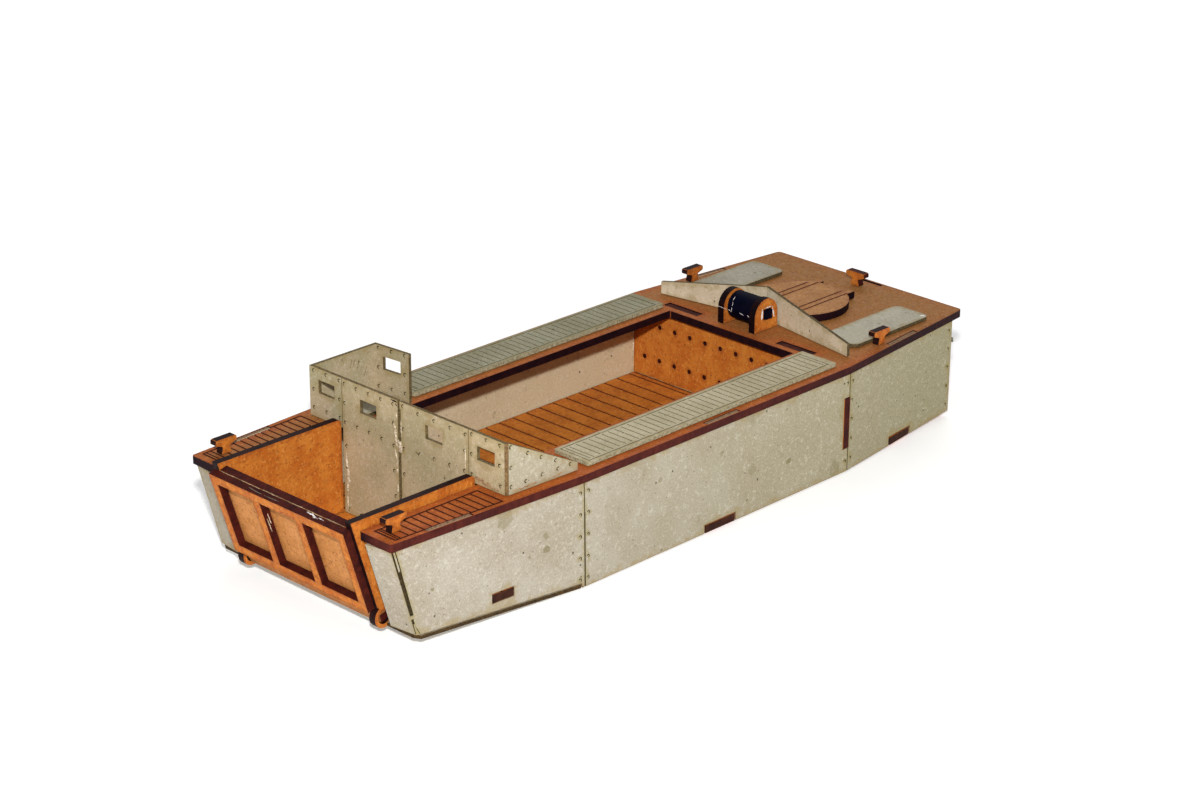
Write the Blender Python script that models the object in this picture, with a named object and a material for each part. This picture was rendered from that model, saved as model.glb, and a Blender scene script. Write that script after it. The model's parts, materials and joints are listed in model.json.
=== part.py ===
"""Model landing craft in laser-cut fibreboard and greyboard, for 28 mm figures.

Frame: +X to the bow, +Y to port, +Z up. The origin is on the table, under the middle of the deck.
Sizes below are in millimetres, and MM turns them into metres where a mesh is made.
"""
import math

import bmesh
import bpy
from mathutils import Matrix, Vector

MM = 0.001

# Sheet stock
BOARD = 2.2              # fibreboard, nominal 2 mm, with its burnt edge
CARD = 1.0               # greyboard
GAP = 0.3                # clearance between pieces that touch

# Hull plan: half-widths of the deck at its bow, two kinks and stern
BOW_X = 113.0
STERN_X = -113.0
FORE_KINK_X = 50.0
AFT_KINK_X = -55.5
DECK_PLAN = ((BOW_X, 38.4), (FORE_KINK_X, 41.9), (AFT_KINK_X, 41.7), (STERN_X, 35.4))
DECK_BOW_RADIUS = 0.8
DECK_STERN_RADIUS = 1.2
DECK_INNER_RADIUS = 0.5
OVERHANG = 0.6           # how far the deck's edge stands out past the side skins
SKIN_STERN_X = -109.0

# Levels
DECK_TOP = 32.0
DECK_BOTTOM = DECK_TOP - BOARD
SKIN_TOP = DECK_BOTTOM - GAP
FITTING_FOOT = DECK_TOP + GAP
FLOOR_TOP = 7.8
FLOOR_BOTTOM = FLOOR_TOP - BOARD
WALL_TOP = 34.7
BULKHEAD_TOP = 46.4
KEEL_LINE = ((105.0, 3.4), (FORE_KINK_X, 0.0), (AFT_KINK_X, 0.0), (SKIN_STERN_X, 1.2))

# Bow bottom plate, with its two front corners cut off
BOTTOM_FRONT_X = 104.8
BOTTOM_CORNER_X = 103.7
RAMP_NOTCH_X = 104.0     # edge of the bottom below the ramp, clear of its lower corners
BOTTOM_FRONT_HALF_WIDTH = 36.5

# Bow corner of the side skins and the inner edge of their raked faces, at the deck and at the bottom
CREASE_TOP_X = 112.1
CREASE_LOW_X = 105.0
FACE_TOP_X = 113.6
FACE_LOW_X = 105.9
FACE_INNER_Y = 29.6
SKIN_LOW_Z = 4.7

# Ramp well: two walls whose lower front ends are the ramp's lugs
RAKE = math.radians(17.3)
HINGE_X = 105.5
HINGE_Z = 6.0
WALL_INNER_Y = 24.5
WALL_OUTER_Y = WALL_INNER_Y + BOARD
WALL_AFT_X = 74.1
WALL_CORNER_RADIUS = 1.2
LUG_RADIUS = 3.0
LUG_HOLE_RADIUS = 1.9
LUG_NECK = 0.4           # height of the neck above the lug's round
WALL_FOOT_RISE = 1.2     # how far the wall's foot stands off the bottom plate beside the floor's tab

# Ramp, measured up its own slope from the hinge line
RAMP_TOP = 28.5
RAMP_BOTTOM = -1.6
RAMP_SWEEP = math.hypot(RAMP_BOTTOM, BOARD / 2)      # reach of the ramp's lower corners as it swings
FRAME_BOTTOM = 3.4
FRAME_HALF_WIDTH = 25.9
FRAME_RAIL = 2.6
FRAME_STILES = (-8.2, 8.2)
PANEL_HALF_WIDTH = WALL_INNER_Y - GAP
PEG_SIDE = 2.2
PEG_TIP_Y = WALL_OUTER_Y - 0.2

# Hold
HOLD_AFT_X = -51.5
HOLD_HALF_WIDTH = 23.8
HOLD_BULKHEAD_X = -54.0
HOLE_RADIUS = 0.75
HOLE_PITCH = 6.0
HOLE_ROWS = (13.7, 24.3)
HOLES_EACH_SIDE = 6

# Armoured bulkhead: two shelters and two doors, with windows in one row
BULKHEAD_FRONT_X = 73.8
SHELTER_OUTER_Y = 37.2
SHELTER_INNER_Y = 24.3
TOWER_AFT_X = 50.4
TOWER_AFT_INNER_X = 49.2
WING_SHOULDER = (73.0, 37.9)          # end of the opened fold, as x and y
WING_AFT = (49.5, 38.8)
WING_LOW_TOP = 34.4
DOOR_HINGE_Y = 24.1
DOOR_SEAM_Y = -2.0
DOOR_SEAM_GAP = 0.8
WINDOW_HEIGHT = 3.8
WINDOW_HALF_WIDTH = 3.2
STEERING_WINDOW = (-30.4, 39.4)        # a window's middle along Y and its sill
TOWER_AFT_WINDOW = (-30.4, 39.7)
GUN_WINDOW = (30.5, 39.0)
DOOR_WINDOWS = ((11.3, 39.0), (-13.9, 38.6))
STEERING_FLOOR = (51.7, 72.5, -35.9, -24.8)    # aft, fore, outer and inner

# Tabs and the slots they stand in: (aft end, fore end) along X unless noted
SKIN_TABS = ((86.9, 101.1), (-9.4, 3.3), (-89.3, -75.9))
FLOOR_TAB = (73.6, 80.4)
BASE_TABS = ((-8.8, 3.2), (-88.0, -77.6))
BULKHEAD_TAB = (7.3, 22.3)            # along Z
BULKHEAD_TOP_TAB = (15.5, 28.0)       # along Y, on both sides
STERN_SLOT = (-112.3, -111.2, -1.4, 6.3)
TAB_TAPER = 0.2
TAB_DROP = 0.2           # how far a board tab ends below the face it comes out of

# Deck fittings
BENCH = (-52.0, 46.0, 26.6, 39.2)     # aft, fore, inner and outer
BENCH_RADIUS = 0.5
CLEAT_PROFILE = (
    # half-width, height, corner radius, from the foot up
    (1.6, 0.0, 0.0),
    (1.2, 1.7, 0.0),
    (1.4, 2.1, 0.0),
    (3.45, 2.8, 0.4),
    (3.45, 4.2, 0.6),
)
CLEATS = (
    # name, x, y, turned across the deck
    ("cleat_bow_starboard", 106.0, -33.8, False),
    ("cleat_bow_port", 107.1, 32.8, False),
    ("cleat_aft_starboard", -74.6, -36.3, False),
    ("cleat_aft_port", -74.3, 36.0, False),
    ("cleat_stern", -106.8, 0.8, True),
)
WINCH_X = -59.15
WINCH_CHEEK_HALF_WIDTH = 4.9
WINCH_CHEEK_SHOULDER = 4.6            # height where the round top starts
WINCH_CHEEKS = (("winch_cheek_starboard", -7.4), ("winch_cheek_port", 4.5))
WINCH_SHAFT_X = -59.6
WINCH_SHAFT_Z = FITTING_FOOT + 4.8
WINCH_SHAFT_SIDE = 2.6
WINCH_SHAFT_PROUD = 0.8               # how far the shaft stands out of the cheeks
WINCH_HOLE_SIDE = 3.2
WINCH_DRUM_RADIUS = 4.1
SHIELD_PLAN = ((-59.7, -35.0), (-65.7, 1.0), (-59.7, 36.4))
SHIELD_END_HEIGHT = 3.7
SHIELD_APEX_HEIGHT = 9.8
HATCH_X = -81.5
HATCH_RADIUS = 14.5
HATCH_STRAPS = (-5.4, 6.5)
HATCH_STRAP_WIDTH = 2.6
HATCH_STRAP_TIP_X = -97.2
DECK_PLATES = (
    # name, aft, fore, low y, high y
    ("deck_plate_port", -99.4, -65.9, 21.9, 34.2),
    ("deck_plate_starboard", -98.6, -64.0, -33.1, -20.4),
)
DECK_PLATE_RADIUS = 2.2

ARC_STEP = math.radians(15)

BOARD_COLOUR = (0.42, 0.17, 0.05)
BURNT_COLOUR = (0.02, 0.012, 0.03)
CARD_COLOUR = (0.42, 0.38, 0.30)
BENCH_COLOUR = (0.26, 0.27, 0.22)

SIDES = (("port", 1), ("starboard", -1))


def clear_scene():
    for obj in list(bpy.data.objects):
        bpy.data.objects.remove(obj, do_unlink=True)


def level(table, x):
    """Value of a table of (x, value) rows at x, by straight lines, held past both ends."""
    rows = sorted(table)
    if x <= rows[0][0]:
        return rows[0][1]
    for (x0, v0), (x1, v1) in zip(rows, rows[1:]):
        if x <= x1:
            return v0 + (v1 - v0) * (x - x0) / (x1 - x0)
    return rows[-1][1]


def deck_half_width(x):
    return level(DECK_PLAN, x)


def skin_face(x):
    """Half-width at the outer face of the side skin."""
    return deck_half_width(x) - OVERHANG


def inner_face(x):
    """Half-width that plates inside the hull reach."""
    return skin_face(x) - CARD - GAP


def keel(x):
    return level(KEEL_LINE, x)


def rounded(corners):
    """Corners as (a, b, radius) with each radius turned into an arc."""
    points = []
    count = len(corners)
    for i, (a, b, radius) in enumerate(corners):
        here = Vector((a, b))
        if radius <= 0:
            points.append(here)
            continue
        before = (Vector(corners[i - 1][:2]) - here).normalized()
        after = (Vector(corners[(i + 1) % count][:2]) - here).normalized()
        half = before.angle(after) / 2
        centre = here + (before + after).normalized() * radius / math.sin(half)
        start = here + before * radius / math.tan(half) - centre
        end = here + after * radius / math.tan(half) - centre
        sweep = start.angle_signed(end)
        steps = max(2, math.ceil(abs(sweep) / ARC_STEP))
        for step in range(steps + 1):
            spoke = start.copy()
            spoke.rotate(Matrix.Rotation(-sweep * step / steps, 2))
            points.append(centre + spoke)
    return [tuple(p) for p in points]


def rectangle(a0, a1, b0, b1, radius=0.0):
    return rounded([(a0, b0, radius), (a1, b0, radius), (a1, b1, radius), (a0, b1, radius)])


def circle(a, b, radius, steps):
    turns = [2 * math.pi * i / steps for i in range(steps)]
    return [(a + radius * math.cos(t), b + radius * math.sin(t)) for t in turns]


def both_sides(half):
    """Closed outline from its port half, which runs from bow to stern."""
    return list(half) + [(x, -y, *rest) for x, y, *rest in reversed(half)]


def finish(obj, colour, roughness=0.8):
    material = bpy.data.materials.new(obj.name)
    material.use_nodes = True
    shader = material.node_tree.nodes["Principled BSDF"]
    shader.inputs["Base Color"].default_value = (*colour, 1.0)
    shader.inputs["Roughness"].default_value = roughness
    shader.inputs["Metallic"].default_value = 0.0
    obj.data.materials.clear()
    obj.data.materials.append(material)


def add_object(name, bm):
    bmesh.ops.recalc_face_normals(bm, faces=bm.faces)
    mesh = bpy.data.meshes.new(name)
    bm.to_mesh(mesh)
    bm.free()
    obj = bpy.data.objects.new(name, mesh)
    bpy.context.scene.collection.objects.link(obj)
    return obj


def sheet(name, outline, thickness, holes=()):
    """Flat sheet in its own XY plane, its thickness along its own +Z."""
    bm = bmesh.new()
    edges = []
    for loop in (outline, *holes):
        ring = [bm.verts.new((a * MM, b * MM, 0.0)) for a, b in loop]
        edges += [bm.edges.new((ring[i - 1], ring[i])) for i in range(len(ring))]
    bmesh.ops.triangle_fill(bm, edges=edges, use_beauty=True)
    raised = bmesh.ops.extrude_face_region(bm, geom=list(bm.faces))
    top = [item for item in raised["geom"] if isinstance(item, bmesh.types.BMVert)]
    bmesh.ops.translate(bm, verts=top, vec=(0.0, 0.0, thickness * MM))
    return add_object(name, bm)


def place(obj, origin, across, up):
    """Lay the object's own X along across and its own Y along up, with its origin at a point in mm."""
    x_axis = Vector(across).normalized()
    y_axis = Vector(up).normalized()
    turn = Matrix((x_axis, y_axis, x_axis.cross(y_axis))).transposed().to_4x4()
    obj.matrix_world = Matrix.Translation(Vector(origin) * MM) @ turn


def flat(name, outline, bottom, thickness, holes=()):
    """Level sheet whose outline is given as (x, y)."""
    obj = sheet(name, outline, thickness, holes)
    obj.location.z = bottom * MM
    return obj


def through_rings(name, rings):
    """Closed body through rings of four corners each, given in mm."""
    bm = bmesh.new()
    loops = [[bm.verts.new(Vector(corner) * MM) for corner in ring] for ring in rings]
    for here, after in zip(loops, loops[1:]):
        for i in range(4):
            bm.faces.new((here[i], here[i - 1], after[i - 1], after[i]))
    bm.faces.new(loops[0])
    bm.faces.new(loops[-1][::-1])
    return add_object(name, bm)


def folded(name, stations, thickness):
    """Sheet on edge that follows stations of (low outer point, high outer point).

    The thickness goes to the left of the way from station to station, mitred at each fold.
    """
    plan = [Vector(high[:2]) for _, high in stations]
    rings = []
    for i, (low, high) in enumerate(stations):
        normals = []
        for a, b in ((i - 1, i), (i, i + 1)):
            if a < 0 or b >= len(plan):
                continue
            along = (plan[b] - plan[a]).normalized()
            normals.append(Vector((-along.y, along.x)))
        mean = sum(normals, Vector((0.0, 0.0))).normalized()
        offset = mean * thickness / mean.dot(normals[0])
        shift = Vector((offset.x, offset.y, 0.0))
        rings.append((Vector(low), Vector(high), Vector(high) + shift, Vector(low) + shift))
    return through_rings(name, rings)


def upright(plan, top):
    """Stations for a folded sheet that stands on the deck, from (x, y) points and one height."""
    return [((x, y, FITTING_FOOT), (x, y, top)) for x, y in plan]


def cut_box(obj, lows, highs):
    """Take a box, given by two corners in mm, out of an object."""
    bm = bmesh.new()
    bmesh.ops.create_cube(bm, size=1.0)
    size = Vector(highs) - Vector(lows)
    middle = (Vector(highs) + Vector(lows)) / 2
    bmesh.ops.scale(bm, verts=bm.verts, vec=size * MM)
    bmesh.ops.translate(bm, verts=bm.verts, vec=middle * MM)
    cutter = add_object(f"{obj.name}_cutter", bm)
    cutter.hide_render = True
    cutter.display_type = "WIRE"
    boolean = obj.modifiers.new("cut", "BOOLEAN")
    boolean.operation = "DIFFERENCE"
    boolean.solver = "EXACT"
    boolean.object = cutter


def make_deck():
    hold_fore = BULKHEAD_FRONT_X - CARD - GAP
    half = [
        (HOLD_AFT_X, HOLD_HALF_WIDTH, DECK_INNER_RADIUS),
        (hold_fore, HOLD_HALF_WIDTH, 0.0),
        (hold_fore, WALL_OUTER_Y + GAP, 0.0),
        (BOW_X, WALL_OUTER_Y + GAP, DECK_INNER_RADIUS),
        (BOW_X, deck_half_width(BOW_X), DECK_BOW_RADIUS),
        (FORE_KINK_X, deck_half_width(FORE_KINK_X), 0.0),
        (AFT_KINK_X, deck_half_width(AFT_KINK_X), 0.0),
        (STERN_X, deck_half_width(STERN_X), DECK_STERN_RADIUS),
    ]
    slots = [rectangle(*STERN_SLOT)]
    near, far = BULKHEAD_TOP_TAB
    for _, side in SIDES:
        for aft, fore in SKIN_TABS:
            outer = [(x, (skin_face(x) + GAP) * side) for x in (aft - GAP, fore + GAP)]
            inner = [(x, inner_face(x) * side) for x in (fore + GAP, aft - GAP)]
            slots.append(outer + inner)
        low, high = sorted((near * side, far * side))
        slots.append(rectangle(HOLD_BULKHEAD_X - BOARD - GAP, HOLD_BULKHEAD_X + GAP, low - GAP, high + GAP))
    finish(flat("deck", rounded(both_sides(half)), DECK_BOTTOM, BOARD, slots), BOARD_COLOUR)


def side_skin_stations(side):
    """Raked bow face, bow corner, the long side with its tabs, and the stern end."""
    corner_y = skin_face(CREASE_TOP_X)
    stations = [
        ((FACE_LOW_X, FACE_INNER_Y, SKIN_LOW_Z), (FACE_TOP_X, FACE_INNER_Y, SKIN_TOP)),
        ((CREASE_LOW_X, corner_y, SKIN_LOW_Z), (CREASE_TOP_X, corner_y, SKIN_TOP)),
    ]
    tops = [(x, SKIN_TOP) for x in (FORE_KINK_X + GAP, FORE_KINK_X, AFT_KINK_X, SKIN_STERN_X)]
    for aft, fore in SKIN_TABS:
        tops += [(fore, SKIN_TOP), (fore - TAB_TAPER, DECK_TOP), (aft + TAB_TAPER, DECK_TOP), (aft, SKIN_TOP)]
    for x, top in sorted(tops, reverse=True):
        bottom = keel(x) + CARD + GAP if x > FORE_KINK_X else keel(x)
        stations.append(((x, skin_face(x), bottom), (x, skin_face(x), top)))
    return [tuple((x, y * side, z) for x, y, z in station) for station in stations]


def make_side_skins():
    for word, side in SIDES:
        stations = side_skin_stations(side)
        if side < 0:
            stations.reverse()
        skin = folded(f"side_skin_{word}", stations, CARD)
        near, far = sorted((side * FACE_INNER_Y, side * DECK_PLAN[1][1]))
        slots = [(FLOOR_TAB, (FLOOR_BOTTOM, FLOOR_TOP))]
        slots += [(span, (keel(span[0]) - BOARD, keel(span[0]) + BOARD)) for span in BASE_TABS]
        slots.append(((HOLD_BULKHEAD_X - BOARD, HOLD_BULKHEAD_X), BULKHEAD_TAB))
        for (aft, fore), (low, high) in slots:
            cut_box(skin, (aft - GAP, near, low - GAP), (fore + GAP, far, high + GAP))
        finish(skin, CARD_COLOUR)


def bottom_plate(name, stations, thickness):
    """Plate across the hull, through stations of (x, half-width)."""
    rings = []
    for x, half in stations:
        z = keel(x)
        rings.append(((x, half, z), (x, -half, z), (x, -half, z + thickness), (x, half, z + thickness)))
    return through_rings(name, rings)


def make_bottom():
    aft_x = FORE_KINK_X + 2 * GAP
    bow = [
        (BOTTOM_FRONT_X, BOTTOM_FRONT_HALF_WIDTH),
        (BOTTOM_CORNER_X, skin_face(BOTTOM_CORNER_X)),
        (aft_x, skin_face(aft_x)),
    ]
    plate = bottom_plate("bow_bottom", bow, CARD)
    cut_box(plate, (RAMP_NOTCH_X, -WALL_INNER_Y, 0.0), (HINGE_X, WALL_INNER_Y, DECK_BOTTOM))
    inner, outer = WALL_INNER_Y - GAP, WALL_OUTER_Y + GAP
    for near, far in ((inner, outer), (-outer, -inner)):
        cut_box(plate, (HINGE_X - LUG_RADIUS - GAP, near, 0.0), (HINGE_X, far, DECK_BOTTOM))
    finish(plate, CARD_COLOUR)

    fore_x = FORE_KINK_X - GAP
    rows = [(fore_x, inner_face(fore_x)), (AFT_KINK_X, inner_face(AFT_KINK_X))]
    for aft, fore in BASE_TABS:
        rows += [(fore, inner_face(fore)), (fore - TAB_TAPER, skin_face(fore))]
        rows += [(aft + TAB_TAPER, skin_face(aft)), (aft, inner_face(aft))]
    end_x = SKIN_STERN_X + GAP
    rows.append((end_x, inner_face(end_x)))
    finish(bottom_plate("base_plate", sorted(rows, reverse=True), BOARD), BOARD_COLOUR)


def make_floor():
    aft = HOLD_BULKHEAD_X + GAP
    fore = HINGE_X - RAMP_SWEEP - GAP
    tab_aft, tab_fore = FLOOR_TAB
    half = [
        (fore, PANEL_HALF_WIDTH),
        (tab_fore + GAP, PANEL_HALF_WIDTH),
        (tab_fore + GAP, inner_face(tab_fore)),
        (tab_fore, inner_face(tab_fore)),
        (tab_fore, skin_face(tab_fore)),
        (tab_aft, skin_face(tab_aft)),
        (tab_aft, inner_face(tab_aft)),
        (FORE_KINK_X, inner_face(FORE_KINK_X)),
        (aft, inner_face(aft)),
    ]
    finish(flat("floor", both_sides(half), FLOOR_BOTTOM, BOARD), BOARD_COLOUR)


def make_well_walls():
    front_offset = (BOARD / 2) / math.cos(RAKE)
    step_x = FLOOR_TAB[1] + 2 * GAP

    def front(z):
        return (HINGE_X + front_offset + (z - HINGE_Z) * math.tan(RAKE), z)

    lug = []
    for degrees in range(-170, 61, 10):
        turn = math.radians(degrees)
        lug.append((HINGE_X + LUG_RADIUS * math.cos(turn), HINGE_Z + LUG_RADIUS * math.sin(turn)))
    foot_z = keel(step_x) + CARD + GAP + WALL_FOOT_RISE
    rear = rounded([
        (*front(WALL_TOP), 0.0),
        (WALL_AFT_X, WALL_TOP, WALL_CORNER_RADIUS),
        (WALL_AFT_X, FLOOR_TOP + GAP, 0.0),
        (step_x, FLOOR_TOP + GAP, 0.0),
        (step_x, foot_z, 0.0),
        (HINGE_X - LUG_RADIUS, keel(HINGE_X) + CARD + 2 * GAP, 0.0),
    ])
    outline = lug + [front(HINGE_Z + LUG_RADIUS + LUG_NECK)] + rear
    hole = circle(HINGE_X, HINGE_Z, LUG_HOLE_RADIUS, 20)
    for word, side in SIDES:
        wall = sheet(f"well_wall_{word}", outline, BOARD, [hole])
        face = WALL_OUTER_Y if side > 0 else -WALL_INNER_Y
        place(wall, (0.0, face, 0.0), (1, 0, 0), (0, 0, 1))
        finish(wall, BOARD_COLOUR)


def make_hold_bulkhead():
    middle = HOLD_BULKHEAD_X - BOARD / 2
    wide = inner_face(middle)
    low = keel(HOLD_BULKHEAD_X) + BOARD + GAP
    top = DECK_BOTTOM - GAP
    tab_low, tab_high = BULKHEAD_TAB
    top_near, top_far = BULKHEAD_TOP_TAB
    half = [
        (wide, low),
        (wide, tab_low),
        (skin_face(middle), tab_low),
        (skin_face(middle), tab_high),
        (wide, tab_high),
        (wide, top),
        (top_far, top),
        (top_far, DECK_TOP - TAB_DROP),
        (top_near, DECK_TOP - TAB_DROP),
        (top_near, top),
    ]
    outline = half + [(-y, z) for y, z in reversed(half)]
    holes = []
    for z in HOLE_ROWS:
        for i in range(-HOLES_EACH_SIDE, HOLES_EACH_SIDE + 1):
            holes.append(circle(i * HOLE_PITCH, z, HOLE_RADIUS, 8))
    board = sheet("hold_bulkhead", outline, BOARD, holes)
    place(board, (HOLD_BULKHEAD_X - BOARD, 0.0, 0.0), (0, 1, 0), (0, 0, 1))
    finish(board, BOARD_COLOUR)


def make_transom():
    aft = SKIN_STERN_X + CARD
    wide = inner_face(aft)
    low = keel(aft) + BOARD + GAP
    board = sheet("transom", rectangle(-wide, wide, low, SKIN_TOP), BOARD)
    place(board, (aft, 0.0, 0.0), (0, 1, 0), (0, 0, 1))
    finish(board, BOARD_COLOUR)


def make_ramp():
    """Back board with the two pegs and front frame with three panes, on one pivot."""
    hinge = Vector((HINGE_X, 0.0, HINGE_Z))
    pivot = bpy.data.objects.new("ramp_pivot", None)
    bpy.context.scene.collection.objects.link(pivot)
    pivot.location = hinge * MM
    across = Vector((0, 1, 0))
    up = Vector((math.sin(RAKE), 0, math.cos(RAKE)))
    normal = across.cross(up)

    half = [
        (PANEL_HALF_WIDTH, RAMP_BOTTOM),
        (PANEL_HALF_WIDTH, -PEG_SIDE / 2),
        (PEG_TIP_Y, -PEG_SIDE / 2),
        (PEG_TIP_Y, PEG_SIDE / 2),
        (PANEL_HALF_WIDTH, PEG_SIDE / 2),
        (PANEL_HALF_WIDTH, RAMP_TOP),
    ]
    outline = half + [(-y, s) for y, s in reversed(half)]
    back = sheet("ramp_back", outline, BOARD)
    place(back, hinge - normal * BOARD / 2, across, up)

    edges = [FRAME_RAIL - FRAME_HALF_WIDTH]
    for middle in FRAME_STILES:
        edges += [middle - FRAME_RAIL / 2, middle + FRAME_RAIL / 2]
    edges.append(FRAME_HALF_WIDTH - FRAME_RAIL)
    low = FRAME_BOTTOM + FRAME_RAIL
    high = RAMP_TOP - FRAME_RAIL
    panes = [rectangle(left, right, low, high) for left, right in zip(edges[::2], edges[1::2])]
    rim = rectangle(-FRAME_HALF_WIDTH, FRAME_HALF_WIDTH, FRAME_BOTTOM, RAMP_TOP)
    frame = sheet("ramp_frame", rim, BOARD, panes)
    place(frame, hinge + normal * (BOARD / 2 + GAP), across, up)

    bpy.context.view_layer.update()
    for board in (back, frame):
        finish(board, BOARD_COLOUR)
        world = board.matrix_world.copy()
        board.parent = pivot
        board.matrix_world = world


def cut_window(obj, window, panel_x):
    y, sill = window
    low = (panel_x - 2 * CARD, y - WINDOW_HALF_WIDTH, sill)
    high = (panel_x + 2 * CARD, y + WINDOW_HALF_WIDTH, sill + WINDOW_HEIGHT)
    cut_box(obj, low, high)


def make_shelters():
    front = BULKHEAD_FRONT_X
    tower = [
        (TOWER_AFT_INNER_X, -SHELTER_INNER_Y),
        (TOWER_AFT_X, -SHELTER_OUTER_Y),
        (front, -SHELTER_OUTER_Y),
        (front, -SHELTER_INNER_Y),
    ]
    steering = folded("steering_shelter", upright(tower, BULKHEAD_TOP), CARD)
    cut_window(steering, STEERING_WINDOW, front)
    cut_window(steering, TOWER_AFT_WINDOW, TOWER_AFT_X)
    finish(steering, CARD_COLOUR)
    finish(flat("steering_floor", rectangle(*STEERING_FLOOR), FITTING_FOOT, CARD), CARD_COLOUR)

    panel =[(front, SHELTER_INNER_Y), (front, SHELTER_OUTER_Y), WING_SHOULDER]
    stations = upright(panel, BULKHEAD_TOP) + upright([WING_AFT], WING_LOW_TOP)
    gun = folded("gun_shelter", stations, CARD)
    cut_window(gun, GUN_WINDOW, front)
    finish(gun, CARD_COLOUR)


def make_doors():
    """Two leaves; each one's origin is on its hinge line, at the front face of its outer edge."""
    for (word, side), (window_y, sill) in zip(SIDES, DOOR_WINDOWS):
        hinge_y = side * DOOR_HINGE_Y
        free_y = DOOR_SEAM_Y + side * DOOR_SEAM_GAP / 2
        low_y, high_y = sorted((0.0, free_y - hinge_y))
        middle = window_y - hinge_y
        sides = (middle - WINDOW_HALF_WIDTH, middle + WINDOW_HALF_WIDTH)
        pane = rectangle(*sides, sill, sill + WINDOW_HEIGHT)
        leaf = sheet(f"door_{word}", rectangle(low_y, high_y, FLOOR_TOP + GAP, BULKHEAD_TOP), CARD, [pane])
        for vert in leaf.data.vertices:
            vert.co.z -= CARD * MM
        place(leaf, (BULKHEAD_FRONT_X, hinge_y, 0.0), (0, 1, 0), (0, 0, 1))
        finish(leaf, CARD_COLOUR)


def make_benches():
    aft, fore, inner, outer = BENCH
    for word, side in SIDES:
        low, high = sorted((inner * side, outer * side))
        outline = rectangle(aft, fore, low, high, BENCH_RADIUS)
        finish(flat(f"bench_cover_{word}", outline, FITTING_FOOT, CARD), BENCH_COLOUR)


def make_cleats():
    """Flat bollards with two horns, cut from board and stood on their feet."""
    mirror = [(-a, b, radius) for a, b, radius in reversed(CLEAT_PROFILE)]
    outline = rounded(list(CLEAT_PROFILE) + mirror)
    for name, x, y, turned in CLEATS:
        cleat = sheet(name, outline, BOARD)
        along = Vector((0, 1, 0)) if turned else Vector((1, 0, 0))
        thickness_way = along.cross(Vector((0, 0, 1)))
        place(cleat, Vector((x, y, FITTING_FOOT)) - thickness_way * BOARD / 2, along, (0, 0, 1))
        finish(cleat, BOARD_COLOUR)


def centred_square(a, b, side):
    half = side / 2
    return rectangle(a - half, a + half, b - half, b + half)


def make_winch():
    wide = WINCH_CHEEK_HALF_WIDTH
    arch = [(-wide, 0.0), (wide, 0.0)]
    for degrees in range(0, 181, 15):
        turn = math.radians(degrees)
        arch.append((wide * math.cos(turn), WINCH_CHEEK_SHOULDER + wide * math.sin(turn)))
    hole = centred_square(WINCH_SHAFT_X - WINCH_X, WINCH_SHAFT_Z - FITTING_FOOT, WINCH_HOLE_SIDE)
    for name, low_y in WINCH_CHEEKS:
        cheek = sheet(name, arch, BOARD, [hole])
        place(cheek, (WINCH_X, low_y + BOARD, FITTING_FOOT), (1, 0, 0), (0, 0, 1))
        finish(cheek, BOARD_COLOUR)

    low = WINCH_CHEEKS[0][1] + BOARD + GAP
    high = WINCH_CHEEKS[1][1] - GAP
    bore = centred_square(0.0, 0.0, WINCH_HOLE_SIDE)
    drum = sheet("winch_drum", circle(0.0, 0.0, WINCH_DRUM_RADIUS, 32), high - low, [bore])
    place(drum, (WINCH_SHAFT_X, high, WINCH_SHAFT_Z), (1, 0, 0), (0, 0, 1))
    finish(drum, BURNT_COLOUR, 0.5)

    low = WINCH_CHEEKS[0][1] - WINCH_SHAFT_PROUD
    high = WINCH_CHEEKS[1][1] + BOARD + WINCH_SHAFT_PROUD
    shaft = sheet("winch_shaft", centred_square(0.0, 0.0, WINCH_SHAFT_SIDE), high - low)
    place(shaft, (WINCH_SHAFT_X, high, WINCH_SHAFT_Z), (1, 0, 0), (0, 0, 1))
    finish(shaft, BURNT_COLOUR, 0.6)


def make_shield():
    heights = (SHIELD_END_HEIGHT, SHIELD_APEX_HEIGHT, SHIELD_END_HEIGHT)
    stations = []
    for (x, y), height in zip(SHIELD_PLAN, heights):
        stations.append(((x, y, FITTING_FOOT), (x, y, FITTING_FOOT + height)))
    finish(folded("winch_shield", stations, CARD), CARD_COLOUR)


def make_hatch():
    """Round cover with the tips of its two hinge straps standing out aft."""
    corners = []
    for strap in HATCH_STRAPS:
        for y in (strap - HATCH_STRAP_WIDTH / 2, strap + HATCH_STRAP_WIDTH / 2):
            corners.append((y, math.atan2(y, -math.sqrt(HATCH_RADIUS ** 2 - y ** 2)) % math.tau))
    corners.sort(key=lambda corner: corner[1])
    arcs = [(corners[i][1], corners[(i + 1) % 4][1]) for i in (1, 3)]
    outline = []
    for (start, end), strap in zip(arcs, HATCH_STRAPS):
        sweep = (end - start) % math.tau
        steps = math.ceil(sweep / ARC_STEP * 2)
        for step in range(steps + 1):
            turn = start + sweep * step / steps
            outline.append((HATCH_X + HATCH_RADIUS * math.cos(turn), HATCH_RADIUS * math.sin(turn)))
        near = strap + HATCH_STRAP_WIDTH / 2
        far = strap - HATCH_STRAP_WIDTH / 2
        outline += [(HATCH_STRAP_TIP_X, near), (HATCH_STRAP_TIP_X, far)]
    finish(flat("round_hatch", outline, FITTING_FOOT, BOARD), BOARD_COLOUR)


def make_deck_plates():
    for name, aft, fore, low, high in DECK_PLATES:
        outline = rectangle(aft, fore, low, high, DECK_PLATE_RADIUS)
        finish(flat(name, outline, FITTING_FOOT, CARD), CARD_COLOUR)


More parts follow.
